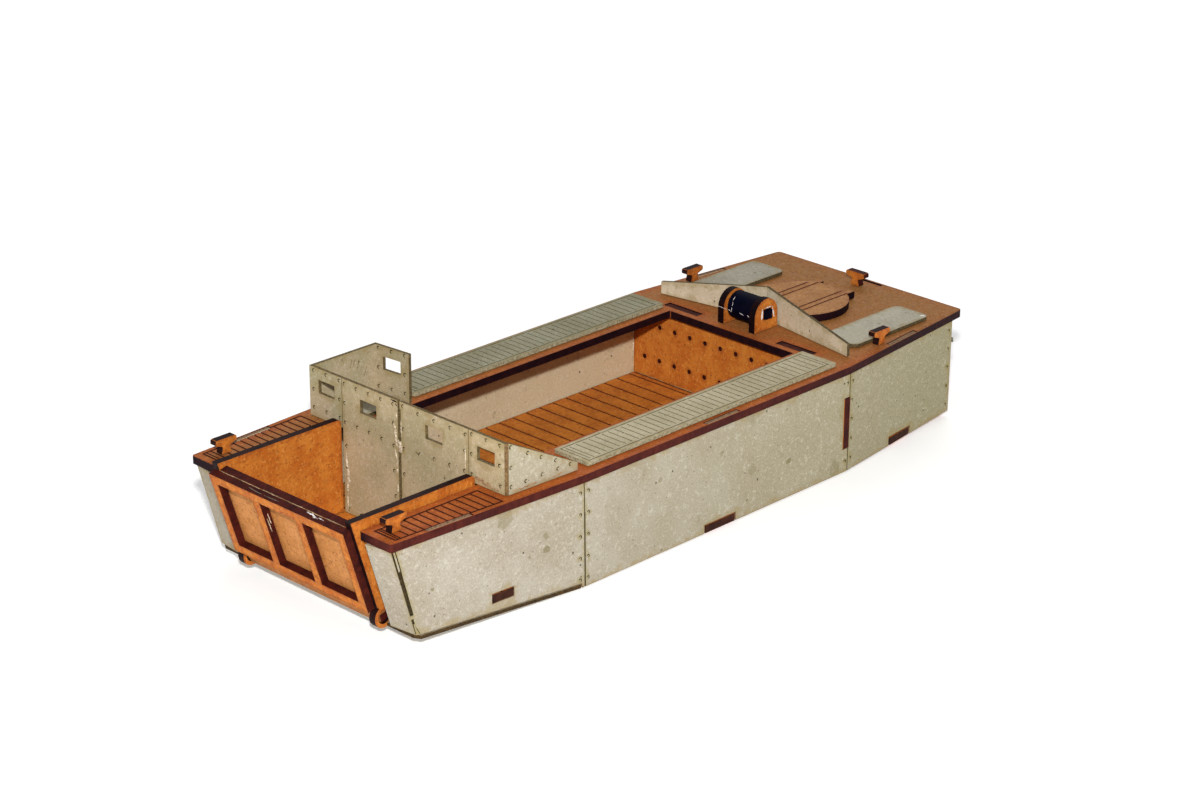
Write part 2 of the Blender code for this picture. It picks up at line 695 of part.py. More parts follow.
def main():
    clear_scene()
    make_deck()
    make_side_skins()
    make_bottom()
    make_floor()
    make_well_walls()
    make_hold_bulkhead()
    make_transom()
    make_ramp()
    make_shelters()
    make_doors()
    make_benches()
    make_cleats()
    make_winch()
    make_shield()
    make_hatch()
    make_deck_plates()


main()
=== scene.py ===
"""Looks of the model landing craft: laser-cut fibreboard and greyboard with engraved planks and rivets.

Tables are in millimetres in the CAD frame: +X to the bow, +Y to port, +Z up. Shader positions come in
metres, so what they are compared with is a number of millimetres times MM.
"""
import json
import math

import bmesh
import bpy
import numpy as np
from mathutils import Matrix, Vector
from mathutils.bvhtree import BVHTree
from mathutils.kdtree import KDTree


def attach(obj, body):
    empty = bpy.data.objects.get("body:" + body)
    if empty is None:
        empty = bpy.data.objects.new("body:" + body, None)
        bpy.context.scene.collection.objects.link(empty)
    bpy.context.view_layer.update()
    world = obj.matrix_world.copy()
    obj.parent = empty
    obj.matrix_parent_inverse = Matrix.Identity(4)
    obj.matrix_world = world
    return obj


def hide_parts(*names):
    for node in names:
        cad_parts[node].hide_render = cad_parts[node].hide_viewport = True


MM = 0.001
BOARD = 2.2
CARD = 1.0

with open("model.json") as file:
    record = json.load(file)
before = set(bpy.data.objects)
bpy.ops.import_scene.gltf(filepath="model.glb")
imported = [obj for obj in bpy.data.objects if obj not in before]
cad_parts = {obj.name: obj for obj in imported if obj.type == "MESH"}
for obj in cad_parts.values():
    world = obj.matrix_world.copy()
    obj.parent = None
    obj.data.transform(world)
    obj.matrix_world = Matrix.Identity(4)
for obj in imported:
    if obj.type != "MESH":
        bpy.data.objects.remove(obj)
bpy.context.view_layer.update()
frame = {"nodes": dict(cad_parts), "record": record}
NODES = frame["nodes"]
BODY_OF = {node: body for body, nodes in frame["record"]["behaviour"]["bodies"].items() for node in nodes}


# Materials

class Shader:
    """Small helper that adds nodes to one material and links them."""

    def __init__(self, name):
        self.material = bpy.data.materials.new(name)
        self.material.use_nodes = True
        self.tree = self.material.node_tree
        self.principled = self.tree.nodes["Principled BSDF"]
        self.position = self.add("ShaderNodeTexCoord").outputs["Object"]

    def add(self, kind, **values):
        node = self.tree.nodes.new(kind)
        for key, value in values.items():
            setattr(node, key, value)
        return node

    def join(self, source, target):
        self.tree.links.new(source, target)

    def attribute(self, name):
        return self.add("ShaderNodeAttribute", attribute_name=name).outputs["Fac"]

    def axis(self, name):
        node = self.add("ShaderNodeSeparateXYZ")
        self.join(self.position, node.inputs[0])
        return node.outputs[name]

    def distance(self, place):
        """Distance in metres to a point given in mm."""
        node = self.add("ShaderNodeVectorMath", operation="DISTANCE")
        self.join(self.position, node.inputs[0])
        node.inputs[1].default_value = [value * MM for value in place]
        return node.outputs["Value"]

    def stretched(self, scale):
        node = self.add("ShaderNodeVectorMath", operation="MULTIPLY")
        self.join(self.position, node.inputs[0])
        node.inputs[1].default_value = scale
        return node.outputs[0]

    def noise(self, size, detail=4.0, rough=0.55, stretch=None):
        """Noise with features of about the given size in mm."""
        node = self.add("ShaderNodeTexNoise")
        node.inputs["Scale"].default_value = 1.0 / (size * MM)
        node.inputs["Detail"].default_value = detail
        node.inputs["Roughness"].default_value = rough
        self.join(self.stretched(stretch) if stretch else self.position, node.inputs["Vector"])
        return node.outputs["Fac"]

    def cells(self, size, stretch=None):
        """Distance to the nearest of scattered points about size mm apart, in cells."""
        node = self.add("ShaderNodeTexVoronoi")
        node.inputs["Scale"].default_value = 1.0 / (size * MM)
        self.join(self.stretched(stretch) if stretch else self.position, node.inputs["Vector"])
        return node.outputs["Distance"]

    def span(self, value, low, high, to_low=0.0, to_high=1.0, smooth=True):
        node = self.add("ShaderNodeMapRange")
        node.interpolation_type = "SMOOTHSTEP" if smooth else "LINEAR"
        self.join(value, node.inputs["Value"])
        for key, number in (("From Min", low), ("From Max", high), ("To Min", to_low), ("To Max", to_high)):
            node.inputs[key].default_value = number
        return node.outputs["Result"]

    def times(self, a, b):
        return self.maths("MULTIPLY", a, b)

    def maths(self, operation, a, b):
        node = self.add("ShaderNodeMath", operation=operation)
        for value, socket in zip((a, b), node.inputs):
            if isinstance(value, (int, float)):
                socket.default_value = value
            else:
                self.join(value, socket)
        return node.outputs[0]

    def mix(self, factor, a, b):
        node = self.add("ShaderNodeMix", data_type="RGBA")
        if isinstance(factor, float):
            node.inputs[0].default_value = factor
        else:
            self.join(factor, node.inputs[0])
        for value, socket in ((a, node.inputs[6]), (b, node.inputs[7])):
            if isinstance(value, tuple):
                socket.default_value = (*value, 1.0)
            else:
                self.join(value, socket)
        return node.outputs[2]

    def layer(self, tone, colour, where, share):
        """The tone with a colour laid over it, as far as share where the value is 1."""
        return self.mix(self.times(where, share), tone, colour)

    def uneven(self, distance, size, detail, less, more, low=0.2, high=0.8):
        """A distance that noise of the given size makes shorter here and longer there."""
        return self.maths("ADD", distance, self.span(self.noise(size, detail), low, high, less, more))

    def done(self, colour, roughness, height, depth, strength, specular=0.3):
        """Finished material; its bump follows height and is depth mm deep."""
        self.join(colour, self.principled.inputs["Base Color"])
        if isinstance(roughness, float):
            self.principled.inputs["Roughness"].default_value = roughness
        else:
            self.join(roughness, self.principled.inputs["Roughness"])
        self.principled.inputs["Specular IOR Level"].default_value = specular
        bump = self.add("ShaderNodeBump")
        bump.inputs["Strength"].default_value = strength
        bump.inputs["Distance"].default_value = depth * MM
        self.join(height, bump.inputs["Height"])
        self.join(bump.outputs["Normal"], self.principled.inputs["Normal"])
        return self.material


def srgb(red, green, blue):
    """Linear colour from 8-bit sRGB values."""
    out = []
    for value in (red, green, blue):
        value /= 255
        out.append(value / 12.92 if value <= 0.04045 else ((value + 0.055) / 1.055) ** 2.4)
    return tuple(out)


def fibreboard(name, light, deep, painted_sheen=None):
    """Pressed-fibre face: mottled, with dark and pale specks and a scorched rim beside every cut.

    A paler tan tone comes in aft and to starboard, away from the rim, and all over the stern: a painted
    sheen of light glancing off the face.
    """
    s = Shader(name)
    tone = s.mix(s.span(s.noise(6.0, 5.0, 0.65), 0.36, 0.64), light, deep)
    if painted_sheen:
        # painted sheen: a paler tan aft, to starboard and over the stern, less near the cut rim
        aft = s.span(s.axis("X"), 30 * MM, -100 * MM, smooth=False)
        starboard = s.span(s.axis("Y"), 30 * MM, -30 * MM, 0.0, 0.8, smooth=False)
        inward = s.span(s.attribute("edge_mm"), 0.8, 4.5, 0.3, 1.0)
        stern = s.span(s.axis("X"), -62 * MM, -78 * MM, 0.0, 0.85)
        amidships = s.times(s.maths("MAXIMUM", aft, starboard), inward)
        tone = s.mix(s.maths("MAXIMUM", amidships, stern), tone, painted_sheen)
    fibres = s.noise(0.9, 6.0, 0.8)
    tone = s.layer(tone, srgb(104, 46, 10), s.span(fibres, 0.5, 0.64), 0.55)
    pale = s.noise(0.8, 4.0, 0.75, stretch=(1.0, 1.3, 0.9))
    tone = s.layer(tone, srgb(236, 172, 90), s.span(pale, 0.55, 0.67), 0.45)
    specks = s.cells(2.1)
    size = s.noise(3.2, 1.0)
    dots = s.times(s.span(specks, 0.13, 0.08), s.span(size, 0.44, 0.52))
    tone = s.layer(tone, srgb(62, 24, 8), dots, 0.75)
    rim = s.uneven(s.attribute("edge_mm"), 1.6, 3.0, -0.6, 0.9)
    tone = s.layer(tone, srgb(120, 48, 10), s.span(rim, 1.2, 0.1), 0.42)
    line = s.uneven(s.attribute("line_mm"), 1.2, 2.0, -0.3, 0.5)
    tone = s.layer(tone, srgb(120, 52, 14), s.span(line, 0.8, 0.05), 0.45)
    rough = s.span(s.noise(2.0, 3.0), 0.3, 0.7, 0.66, 0.88)
    height = s.maths("ADD", s.noise(0.35, 4.0, 0.7), s.times(s.noise(2.2, 3.0), 0.6))
    return s.done(tone, rough, height, depth=0.06, strength=0.55)


def burnt(name, dark, light, along, outer=None, low=None, specular=0.1):
    """Laser-cut edge: near black, with fine streaks across the sheet and a few pale scrapes.

    The pair outer is for the port edge of the deck, browner to the bow, and low for what is near the keel.
    """
    s = Shader(name)
    squeeze = tuple(0.12 if axis == along else 1.0 for axis in "xyz")
    streaks = s.noise(0.45, 3.0, 0.65, stretch=squeeze)
    mottle = s.span(s.maths("ADD", s.times(streaks, 0.35), s.times(s.noise(2.2, 4.0), 0.65)), 0.3, 0.7)
    tone = s.mix(mottle, dark, light)
    if outer:
        browned = s.mix(mottle, *outer)
        to_port = s.span(s.axis("Y"), 28 * MM, 33 * MM)
        fading = s.times(to_port, s.span(s.axis("X"), -100 * MM, 10 * MM, 0.1, 1.0))
        tone = s.mix(fading, tone, browned)
    if low:
        tone = s.mix(s.span(s.axis("Z"), 28 * MM, 20 * MM), tone, s.mix(mottle, *low))
    patches = s.noise(9.0, 2.0)
    tone = s.layer(tone, srgb(16, 8, 18), s.span(patches, 0.45, 0.7), 0.25)
    scrapes = s.times(s.span(s.noise(0.5, 3.0, 0.7), 0.68, 0.74), s.span(s.noise(7.0, 1.0), 0.62, 0.68))
    tone = s.layer(tone, srgb(150, 110, 90), scrapes, 0.6)
    height = s.maths("ADD", streaks, s.times(s.noise(0.3, 2.0), 0.4))
    return s.done(tone, 0.65, height, depth=0.04, strength=0.3, specular=specular)


CARD_SPECKS = (
    # size of the cells, how far from a cell's point the speck ends and is full, stretch and colour
    (2.3, 0.11, 0.06, (1.0, 1.0, 1.3), (84, 76, 56)), (4.6, 0.09, 0.05, (1.0, 1.0, 1.0), (48, 38, 24)),
    (3.1, 0.06, 0.03, (0.35, 0.4, 1.7), (76, 66, 46)), (4.0, 0.05, 0.025, (1.6, 1.6, 0.4), (70, 60, 40)),
)


def greyboard(name, light, deep, aft=None, leaf_shade=None, patches=16.0, stains=(), pale=0.16, beside_lines=0.2):
    """Recycled card face: grainy and pale, with dark specks, short fibres, stains and scorch beside cuts.

    The tone aft comes in towards the stern: the card is yellower there, and where this tone is darker too,
    that darkening is painted shade. The tone for the gun shelter's outboard leaf is painted shade, greyer
    and darker than the front of the same card. The shares pale and beside_lines are those of its pale flakes
    and of the scorch beside engraved lines.
    """
    s = Shader(name)
    tone = s.mix(s.span(s.noise(patches, 4.0), 0.35, 0.65), light, deep)
    # towards the stern: yellower card, and where the tone is darker, painted shade
    if aft:
        tone = s.mix(s.span(s.axis("X"), 70 * MM, -95 * MM, smooth=False), tone, aft)
    # painted shade: the outboard leaf greyer and darker than the front of the same card
    if leaf_shade:
        tone = s.mix(s.span(s.axis("Y"), 37.25 * MM, 37.6 * MM), tone, leaf_shade)
    grain = s.noise(0.55, 5.0, 0.8)
    tone = s.layer(tone, srgb(112, 104, 86), s.span(grain, 0.5, 0.68), 0.42)
    tone = s.layer(tone, srgb(220, 214, 200), s.span(grain, 0.48, 0.32), 0.36)
    flecks = s.noise(2.4, 3.0, 0.6)
    tone = s.layer(tone, srgb(120, 108, 84), s.span(flecks, 0.6, 0.72), 0.3)
    flakes = s.noise(1.4, 4.0, 0.65)
    tone = s.layer(tone, srgb(226, 220, 206), s.span(flakes, 0.57, 0.64), pale)
    for size, end, full, stretch, colour in CARD_SPECKS:
        wobble = s.noise(size * 0.8, 2.0)
        dots = s.times(s.span(s.cells(size, stretch), end, full), s.span(wobble, 0.47, 0.52))
        tone = s.layer(tone, srgb(*colour), dots, 0.85)
    for place, radius, share in stains:
        reach = s.uneven(s.distance(place), 1.6, 3.0, -0.5 * MM, 0.5 * MM)
        spot = s.span(reach, radius * MM, 0.75 * radius * MM)
        tone = s.layer(tone, srgb(112, 102, 66), spot, share)
    rim = s.uneven(s.attribute("edge_mm"), 3.0, 3.0, -1.0, 1.6, low=0.25, high=0.75)
    tone = s.layer(tone, srgb(142, 122, 72), s.span(rim, 2.0, 0.2), 0.45)
    line = s.uneven(s.attribute("line_mm"), 1.8, 2.0, -0.4, 0.8, low=0.25, high=0.75)
    tone = s.layer(tone, srgb(138, 124, 64), s.span(line, 1.1, 0.1), beside_lines)
    height = s.maths("ADD", s.noise(0.5, 5.0, 0.75), s.times(s.noise(3.0, 3.0), 0.8))
    return s.done(tone, 0.9, height, depth=0.06, strength=0.5, specular=0.15)


def plain_cut(name, dark, light, size=0.6):
    """Engraved groove or cut card edge."""
    s = Shader(name)
    tone = s.mix(s.span(s.noise(size, 4.0, 0.7), 0.35, 0.65), dark, light)
    return s.done(tone, 0.8, s.noise(0.3, 3.0), depth=0.04, strength=0.4, specular=0.2)


STAINS = (
    # on the port skin: place, radius and how strong
    ((76.3, 39.8, 27.6), 3.0, 0.42), ((62.6, 40.6, 18.7), 1.0, 0.5), ((62.4, 40.6, 15.0), 1.2, 0.62),
    ((-15.5, 41.2, 12.8), 1.7, 0.34), ((-50.6, 41.1, 2.4), 2.6, 0.4), ((-15.5, 41.2, 28.8), 2.6, 0.32),
    ((-30.7, 41.1, 10.8), 0.9, 0.7), ((-2.9, 41.2, 21.8), 0.7, 0.5), ((21.3, 41.2, 21.5), 0.8, 0.4),
    ((68.1, 40.3, 14.2), 0.6, 0.55), ((100.0, 38.5, 15.7), 0.6, 0.7),
)
MATERIALS = {material.name: material for material in (
    fibreboard("board_face", srgb(195, 117, 38), srgb(178, 94, 22)),
    # its third tone is a painted sheen on the deck aft and to starboard
    fibreboard("deck_face", srgb(170, 86, 25), srgb(153, 73, 16), srgb(148, 100, 50)),
    fibreboard("hatch_face", srgb(174, 124, 76), srgb(160, 110, 62)),
    fibreboard("recess_face", srgb(193, 130, 72), srgb(178, 116, 57)),
    fibreboard("floor_face", srgb(198, 118, 37), srgb(180, 101, 27)),
    burnt(
        "burnt_z", srgb(14, 3, 10), srgb(36, 10, 14), "z",
        outer=(srgb(56, 15, 11), srgb(80, 31, 22)), low=(srgb(34, 14, 8), srgb(64, 32, 18)),
    ),
    burnt("burnt_y", srgb(14, 4, 6), srgb(44, 18, 14), "y"),
    burnt("burnt_x", srgb(40, 8, 7), srgb(74, 24, 14), "x"),
    burnt("cheek_edge", srgb(6, 3, 6), srgb(26, 6, 8), "y", specular=0.06),
    burnt("drum", srgb(1, 2, 12), srgb(4, 6, 28), "z", specular=0.04),
    plain_cut("engraved", srgb(40, 14, 5), srgb(74, 28, 10)),
    greyboard(
        # its aft tone is yellower and darker: the darkening is painted shade
        "card_face", srgb(166, 158, 143), srgb(154, 144, 126), aft=srgb(148, 140, 110), stains=STAINS,
        beside_lines=0.5,
    ),
    greyboard("inner_card", srgb(200, 184, 153), srgb(188, 172, 140), aft=srgb(196, 176, 140)),
    greyboard(
        # the outboard leaf's tone is painted shade
        "shelter_face", srgb(180, 162, 128), srgb(164, 151, 116), leaf_shade=srgb(160, 151, 129), patches=11.0,
    ),
    greyboard("tower_face", srgb(170, 152, 122), srgb(156, 146, 113), patches=11.0),
    greyboard("shield_face", srgb(203, 188, 162), srgb(184, 168, 140)),
    greyboard("plate_face", srgb(176, 170, 152), srgb(162, 156, 138)),
    # darker copy for the starboard plate: painted shade
    greyboard("plate_face_shaded", srgb(164, 158, 142), srgb(150, 144, 128)),
    greyboard(
        "bench_face", srgb(182, 172, 145), srgb(169, 159, 131), pale=0.06, beside_lines=0.1,
    ),
    # darker copy for the starboard bench cover: painted shade
    greyboard(
        "bench_face_shaded", srgb(147, 144, 122), srgb(135, 131, 107), pale=0.06, beside_lines=0.1,
    ),
    plain_cut("card_edge", srgb(56, 46, 28), srgb(98, 84, 54)),
    plain_cut("shelter_edge", srgb(74, 62, 38), srgb(118, 100, 66)),
    plain_cut("skin_edge", srgb(92, 68, 48), srgb(148, 114, 86)),
    plain_cut("keel_edge", srgb(34, 22, 6), srgb(78, 56, 22)),
    plain_cut("fold", srgb(84, 62, 36), srgb(120, 96, 62)),
    plain_cut("bench_edge", srgb(120, 112, 84), srgb(172, 164, 136)),
    plain_cut("card_line", srgb(30, 22, 8), srgb(66, 54, 26)),
    plain_cut("bench_line", srgb(70, 64, 46), srgb(102, 95, 72)),
    plain_cut("torn", srgb(150, 128, 98), srgb(222, 210, 186), 0.5),
    plain_cut("torn_dull", srgb(124, 98, 68), srgb(172, 146, 112), 0.5),
    plain_cut("glue", srgb(170, 160, 152), srgb(236, 232, 228), 0.5),
    plain_cut("lump", srgb(84, 80, 68), srgb(126, 120, 104), 0.5),
    plain_cut("char", srgb(12, 8, 6), srgb(36, 28, 20)),
)}


# Engraved and cut sheets

FACE_SLOT, EDGE_SLOT, LINE_SLOT, OWN_SLOT = range(4)
BELOW_FACE = 0.02        # where the ray starts that measures a sheet's thickness
SPARE = {CARD: 0.4, BOARD: 0.18}     # how far off the thickness a broad face may measure
GRID_STEP = 1.6          # of the small faces that carry the scorch
EDGE_SPACING = 0.6       # of the points that the distance to a cut edge is measured from
LINE_SPACING = 0.4       # of those along engraved lines
FAR = 99.0               # distance where a sheet has no such edge or line
CUTTER_LIFT = 0.3        # how far a cutter stands out of the face it cuts
ARC_STEPS = 9


class Face:
    """A flat face to engrave: a point on it, its own two axes, and the way out of the sheet."""

    def __init__(self, origin, across, up):
        self.origin = Vector(origin)
        self.across = Vector(across).normalized()
        self.up = Vector(up).normalized()
        self.out = self.across.cross(self.up)

    def at(self, a, b, height=0.0):
        return self.origin + self.across * a + self.up * b + self.out * height


def prism(bm, face, outline, depth):
    """Add a cutter whose outline is on a face and which reaches depth into it."""
    low = [bm.verts.new(face.at(a, b, -depth) * MM) for a, b in outline]
    high = [bm.verts.new(face.at(a, b, CUTTER_LIFT) * MM) for a, b in outline]
    bm.faces.new(low[::-1])
    bm.faces.new(high)
    for i in range(len(low)):
        bm.faces.new((low[i - 1], low[i], high[i], high[i - 1]))


def strip(a0, b0, a1, b1, width):
    """Outline of a straight strip between two points of a face."""
    along = Vector((a1 - a0, b1 - b0)).normalized()
    aside = Vector((-along.y, along.x)) * width / 2
    ends = (Vector((a0, b0)), Vector((a1, b1)))
    return [tuple(p) for p in (ends[0] - aside, ends[1] - aside, ends[1] + aside, ends[0] + aside)]


def arc_strip(a, b, radius, width, start, sweep):
    """Outline of a part of a ring round one point of a face; its angles are in degrees."""
    inner, outer = [], []
    for step in range(ARC_STEPS + 1):
        turn = math.radians(start + sweep * step / ARC_STEPS)
        for ring, reach in ((inner, radius - width / 2), (outer, radius + width / 2)):
            ring.append((a + reach * math.cos(turn), b + reach * math.sin(turn)))
    return outer + inner[::-1]


def clean_mesh(node):
    """The CAD node's mesh with its corners joined and its faces turned out."""
    bm = bmesh.new()
    bm.from_mesh(NODES[node].data)
    bmesh.ops.remove_doubles(bm, verts=bm.verts, dist=0.002 * MM)
    bmesh.ops.recalc_face_normals(bm, faces=bm.faces)
    return bm


def sort_faces(bm, thickness, own):
    """Set each face's slot: the sheet's two broad faces, its cut edges, and those that own() picks."""
    tree = BVHTree.FromBMesh(bm)
    for face in bm.faces:
        middle = face.calc_center_median()
        start = middle - face.normal * BELOW_FACE * MM
        _, _, _, distance = tree.ray_cast(start, -face.normal)
        through = distance is not None and abs(distance / MM + BELOW_FACE - thickness) < SPARE[thickness]
        face.material_index = FACE_SLOT if through else EDGE_SLOT
        if own and own(middle / MM, face.normal):
            face.material_index = OWN_SLOT


def grid_cut(bm):
    """Cut the mesh along a regular grid, so that attributes can vary across wide faces."""
    step = GRID_STEP * MM
    corners = np.array([v.co for v in bm.verts])
    for axis in range(3):
        low, high = corners[:, axis].min(), corners[:, axis].max()
        if high - low < 2 * step:
            continue
        count = int((high - low) / step)
        for i in range(1, count + 1):
            place = Vector((0.0, 0.0, 0.0))
            place[axis] = low + (high - low) * i / (count + 1)
            normal = Vector((0.0, 0.0, 0.0))
            normal[axis] = 1.0
            everything = list(bm.verts) + list(bm.edges) + list(bm.faces)
            bmesh.ops.bisect_plane(bm, geom=everything, plane_co=place, plane_no=normal, dist=1e-7)


def seam_points(bm, pair, spacing):
    """Points spacing mm apart along the edges between faces of the two material slots in pair."""
    points = []
    for edge in bm.edges:
        slots = {face.material_index for face in edge.link_faces}
        if not pair <= slots:
            continue
        a, b = (v.co for v in edge.verts)
        count = max(1, math.ceil((b - a).length / (spacing * MM)))
        points += [a.lerp(b, i / count) for i in range(count + 1)]
    return points


def write_distance(mesh, name, points):
    """Attribute with each vertex's distance in mm to the nearest of the points."""
    values = np.full(len(mesh.vertices), FAR)
    if points:
        tree = KDTree(len(points))
        for i, point in enumerate(points):
            tree.insert(point, i)
        tree.balance()
        for i, vertex in enumerate(mesh.vertices):
            values[i] = tree.find(vertex.co)[2] / MM
    attribute = mesh.attributes.new(name, "FLOAT", "POINT")
    attribute.data.foreach_set("value", np.minimum(values, FAR))


def carve(mesh, cutter_bm):
    """Mesh with the cutter's prisms taken out; the new faces get the slot of engraved lines."""
    for face in cutter_bm.faces:
        face.material_index = LINE_SLOT
    cutter_mesh = bpy.data.meshes.new("cutter")
    bmesh.ops.recalc_face_normals(cutter_bm, faces=cutter_bm.faces)
    cutter_bm.to_mesh(cutter_mesh)
    cutter_bm.free()
    body = bpy.data.objects.new("carved", mesh)
    cutter = bpy.data.objects.new("cutter", cutter_mesh)
    for obj in (body, cutter):
        bpy.context.scene.collection.objects.link(obj)
    for material in mesh.materials:
        cutter_mesh.materials.append(material)
    boolean = body.modifiers.new("engrave", "BOOLEAN")
    boolean.operation = "DIFFERENCE"
    boolean.solver = "EXACT"
    boolean.use_self = True
    boolean.object = cutter
    depsgraph = bpy.context.evaluated_depsgraph_get()
    result = bpy.data.meshes.new_from_object(body.evaluated_get(depsgraph))
    for obj in (body, cutter):
        bpy.data.objects.remove(obj)
    bpy.data.meshes.remove(cutter_mesh)
    return result


def piece(node, thickness, face, edge, line, engrave):
    """Stand-in for one CAD node with its faces, cut edges and engraved lines finished apart."""
    bm = clean_mesh(node)
    own_material, own = OWN.get(node, (face, None))
    sort_faces(bm, thickness, own)
    mesh = bpy.data.meshes.new(f"{node}_look")
    bm.to_mesh(mesh)
    bm.free()
    for name in (face, edge, line, own_material):
        mesh.materials.append(MATERIALS[name])
    if engrave:
        cutter = bmesh.new()
        engrave(cutter)
        mesh = carve(mesh, cutter)
    bm = bmesh.new()
    bm.from_mesh(mesh)
    bmesh.ops.triangulate(bm, faces=bm.faces)
    grid_cut(bm)
    edges = seam_points(bm, {FACE_SLOT, EDGE_SLOT}, EDGE_SPACING)
    lines = seam_points(bm, {FACE_SLOT, LINE_SLOT}, LINE_SPACING)
    bm.to_mesh(mesh)
    bm.free()
    write_distance(mesh, "edge_mm", edges)
    write_distance(mesh, "line_mm", lines)
    obj = bpy.data.objects.new(f"{node}_look", mesh)
    bpy.context.scene.collection.objects.link(obj)
    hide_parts(node)
    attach(obj, BODY_OF[node])


def faces_starboard(middle, normal):
    return normal.y < -0.9


def faces_port(middle, normal):
    return normal.y > 0.9


def on_gun_fold(middle, normal):
    """Whether a face is on the opened fold between the gun shelter's front and its outboard leaf."""
    return 0.3 < normal.x < 0.95 and normal.y > 0.2 and middle.y > 37.0


OWN = {
    # material of a node's own, and which of its faces have it: the skins' insides and the gun shelter's fold
    "side_skin_port": ("inner_card", faces_starboard),
    "side_skin_starboard": ("inner_card", faces_port),
    "gun_shelter": ("fold", on_gun_fold),
}
PIECES = (
    # node, thickness, face, edge
    ("deck", BOARD, "deck_face", "burnt_z"),
    ("base_plate", BOARD, "board_face", "burnt_z"),
    ("floor", BOARD, "floor_face", "burnt_z"),
    ("round_hatch", BOARD, "hatch_face", "burnt_z"),
    ("well_wall_port", BOARD, "board_face", "burnt_y"),
    ("well_wall_starboard", BOARD, "board_face", "burnt_y"),
    ("hold_bulkhead", BOARD, "board_face", "burnt_x"),
    ("transom", BOARD, "board_face", "burnt_x"),
    ("ramp_back", BOARD, "recess_face", "burnt_x"),
    ("ramp_frame", BOARD, "board_face", "burnt_x"),
    ("cleat_bow_port", BOARD, "board_face", "burnt_y"),
    ("cleat_bow_starboard", BOARD, "board_face", "burnt_y"),
    ("cleat_aft_port", BOARD, "board_face", "burnt_y"),
    ("cleat_aft_starboard", BOARD, "board_face", "burnt_y"),
    ("cleat_stern", BOARD, "board_face", "burnt_x"),
    ("winch_cheek_port", BOARD, "board_face", "cheek_edge"),
    ("winch_cheek_starboard", BOARD, "board_face", "cheek_edge"),
    ("winch_drum", BOARD, "drum", "drum"),
    ("winch_shaft", BOARD, "drum", "drum"),
    ("bow_bottom", CARD, "card_face", "keel_edge"),
    ("side_skin_port", CARD, "card_face", "skin_edge"),
    ("side_skin_starboard", CARD, "card_face", "skin_edge"),
    ("steering_shelter", CARD, "tower_face", "shelter_edge"),
    ("steering_floor", CARD, "plate_face", "card_edge"),
    ("gun_shelter", CARD, "shelter_face", "shelter_edge"),
    ("door_port", CARD, "shelter_face", "shelter_edge"),
    ("door_starboard", CARD, "shelter_face", "shelter_edge"),
    ("bench_cover_port", CARD, "bench_face", "bench_edge"),
    ("bench_cover_starboard", CARD, "bench_face_shaded", "bench_edge"),
    ("winch_shield", CARD, "shield_face", "card_edge"),
    ("deck_plate_port", CARD, "plate_face", "card_edge"),
    ("deck_plate_starboard", CARD, "plate_face_shaded", "card_edge"),
)


# What the laser engraved

PLAN = ((113.0, 38.4), (50.0, 41.9), (-55.5, 41.7), (-113.0, 35.4))     # the deck's rim: x and half-width
OVERHANG = 0.6           # of the deck past the side skins
CARD_DEPTH = 0.22
BOARD_DEPTH = 0.3
RIVET_RADIUS = 0.42
RIVET_LINE = 0.28
RIVET_SWEEP = 232.0
# where the gap of a rivet's ring ends, in degrees, on faces seen from ahead, astern, port and starboard
AHEAD_TURN, ASTERN_TURN, PORT_TURN, STARBOARD_TURN = 45.0, -97.0, -70.0, 18.0


def level_face(z):
    """Face that looks up, with its axes forward and to port."""
    return Face((0.0, 0.0, z), (1.0, 0.0, 0.0), (0.0, 1.0, 0.0))


def fore_face(x):
    """Face that looks forward, with its axes to port and up."""
    return Face((x, 0.0, 0.0), (0.0, 1.0, 0.0), (0.0, 0.0, 1.0))


def port_face(y):
    """Face that looks to port, with its axes aft and up."""
    return Face((0.0, y, 0.0), (-1.0, 0.0, 0.0), (0.0, 0.0, 1.0))


FLOOR = level_face(7.8)
DECK_TOP = level_face(32.0)
CARD_TOP = level_face(33.3)      # of the card laid on the deck
HATCH = level_face(34.5)
HATCH_X = -81.5
HATCH_RADIUS = 14.2
FRONT = fore_face(73.8)
TOWER_AFT = Face((51.4, -37.2, 0.0), (-1.2, 12.9, 0.0), (0.0, 0.0, 1.0))
TOWER_BACK = Face((49.2, -24.3, 0.0), (1.2, -12.9, 0.0), (0.0, 0.0, 1.0))
TOWER_INSIDE = port_face(-36.2)
TOWER_SIDE = Face((0.0, -37.2, 0.0), (1.0, 0.0, 0.0), (0.0, 0.0, 1.0))
WING = Face((73.0, 37.9, 0.0), (-23.5, 0.9, 0.0), (0.0, 0.0, 1.0))


def skin_face(x, side):
    """Outside of a side skin at one station; its first axis runs aft to port and forward to starboard."""
    fore, aft = next(pair for pair in zip(PLAN, PLAN[1:]) if x >= pair[1][0])
    ends = [Vector((end[0], side * (end[1] - OVERHANG), 0.0)) for end in (fore, aft)]
    return Face(ends[0], (ends[1] - ends[0]) * side, (0.0, 0.0, 1.0))


def station(face, x):
    """Place of a station along a face's first axis."""
    return (x - face.origin.x) / face.across.x


def groove(cutter, face, a0, b0, a1, b1, width, depth=CARD_DEPTH):
    prism(cutter, face, strip(a0, b0, a1, b1, width), depth)


def rivet(cutter, face, a, b, start):
    """Open ring that stands for a rivet head; start is where its gap ends, in degrees."""
    prism(cutter, face, arc_strip(a, b, RIVET_RADIUS, RIVET_LINE, start, RIVET_SWEEP), CARD_DEPTH)


CREASE_FOOT_X = 105.0
CREASE_FOOT_Z = 4.7
CREASE_LEAN = 0.286      # forward for each millimetre up
CREASE_DEPTH = 0.45


